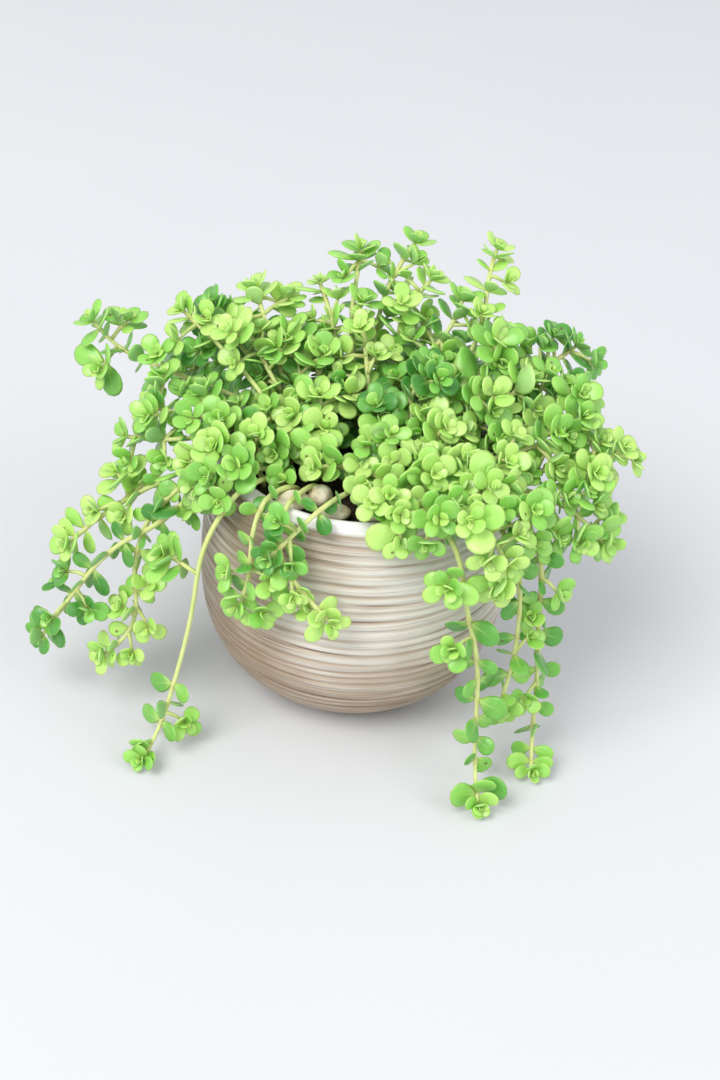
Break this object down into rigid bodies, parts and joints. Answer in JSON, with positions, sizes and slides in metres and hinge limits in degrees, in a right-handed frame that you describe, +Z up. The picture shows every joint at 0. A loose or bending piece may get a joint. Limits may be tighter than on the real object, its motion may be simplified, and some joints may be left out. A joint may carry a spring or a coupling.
{
  "type": "potted isabella peperomia",
  "caption": "Trailing peperomia with small round fleshy leaves on branching stems, some hanging to the surface, in a round-bellied ribbed glazed bowl filled with soil and a few pebbles.",
  "frame": {"origin": "centre of the bowl's flat base, on the surface that it stands on", "axes": "+Z up, -Y towards the viewer of the picture (front), +X to the viewer's right"},
  "size_m": [0.1904, 0.1475, 0.1413],
  "materials": {
    "glaze": "satin cream glaze streaked with taupe in the grooves",
    "soil": "matt, crumbly, dark brown",
    "pebble_cream": "matt, water-worn",
    "pebble_beige": "matt, water-worn",
    "leaf_young": "fleshy, satin, yellow-green",
    "leaf_mature": "fleshy, satin, mid green",
    "leaf_old": "fleshy, glossy, dark green"
  },
  "bodies": {
    "root": {"bowl": "glaze", "potting_soil": "soil", "pebble_front_left": "pebble_cream", "pebble_front_round": "pebble_cream", "pebble_front_long": "pebble_cream", "pebble_front_right": "pebble_cream", "pebble_middle_beige": "pebble_beige", "leafy_stem_far_left": "leaf_mature", "leafy_stem_bare_left": "leaf_young", "leafy_stem_mid_left": "leaf_mature", "leafy_stem_rear_left": "leaf_old", "leafy_stem_high_left": "leaf_young", "leafy_stem_bright_left": "leaf_young", "leafy_stem_broad_left": "leaf_mature", "leafy_stem_star_top": "leaf_young", "leafy_stem_tall_middle": "leaf_mature", "leafy_stem_tall_fork": "leaf_mature", "leafy_stem_top_right": "leaf_young", "leafy_stem_ball_middle": "leaf_young", "leafy_stem_rear_right": "leaf_mature", "leafy_stem_tall_right": "leaf_young", "leafy_stem_broad_right": "leaf_mature", "leafy_stem_far_top_right": "leaf_old", "leafy_stem_far_mid_right": "leaf_mature", "leafy_stem_rosette_right": "leaf_young", "leafy_stem_inner_right": "leaf_mature", "leafy_stem_star_right": "leaf_mature", "leafy_stem_far_right": "leaf_young", "leafy_stem_mid_right": "leaf_young", "leafy_stem_low_right": "leaf_mature", "leafy_stem_lip_right": "leaf_mature", "leafy_stem_inner_front_right": "leaf_young", "leafy_stem_bright_front": "leaf_young", "leafy_stem_front_right": "leaf_young", "leafy_stem_front_low_right": "leaf_mature", "leafy_stem_front_hanging_right": "leaf_young", "leafy_stem_trailing_front": "leaf_mature", "leafy_stem_trailing_right_short": "leaf_mature", "leafy_stem_trailing_right_long": "leaf_mature", "leafy_stem_centre_right": "leaf_mature", "leafy_stem_centre_front": "leaf_young", "leafy_stem_centre_rosette": "leaf_young", "leafy_stem_centre_branch": "leaf_old", "leafy_stem_inner_left": "leaf_mature", "leafy_stem_inner_middle": "leaf_old", "leafy_stem_low_left": "leaf_mature", "leafy_stem_lip_left": "leaf_young", "leafy_stem_out_left": "leaf_mature", "leafy_stem_long_left": "leaf_young", "leafy_stem_trailing_left_outer": "leaf_old", "leafy_stem_trailing_left_inner": "leaf_young", "leafy_stem_trailing_left_front": "leaf_mature", "leafy_stem_hanging_front_left": "leaf_mature", "leafy_stem_arching_front": "leaf_old", "leafy_stem_trailing_front_left": "leaf_young", "leafy_stem_front_over_lip": "leaf_young", "leafy_stem_rear_edge_left": "leaf_old", "leafy_stem_rear_edge_inner_left": "leaf_mature", "leafy_stem_rear_edge_middle": "leaf_old", "leafy_stem_rear_edge_right": "leaf_old"}
  },
  "joints": []
}
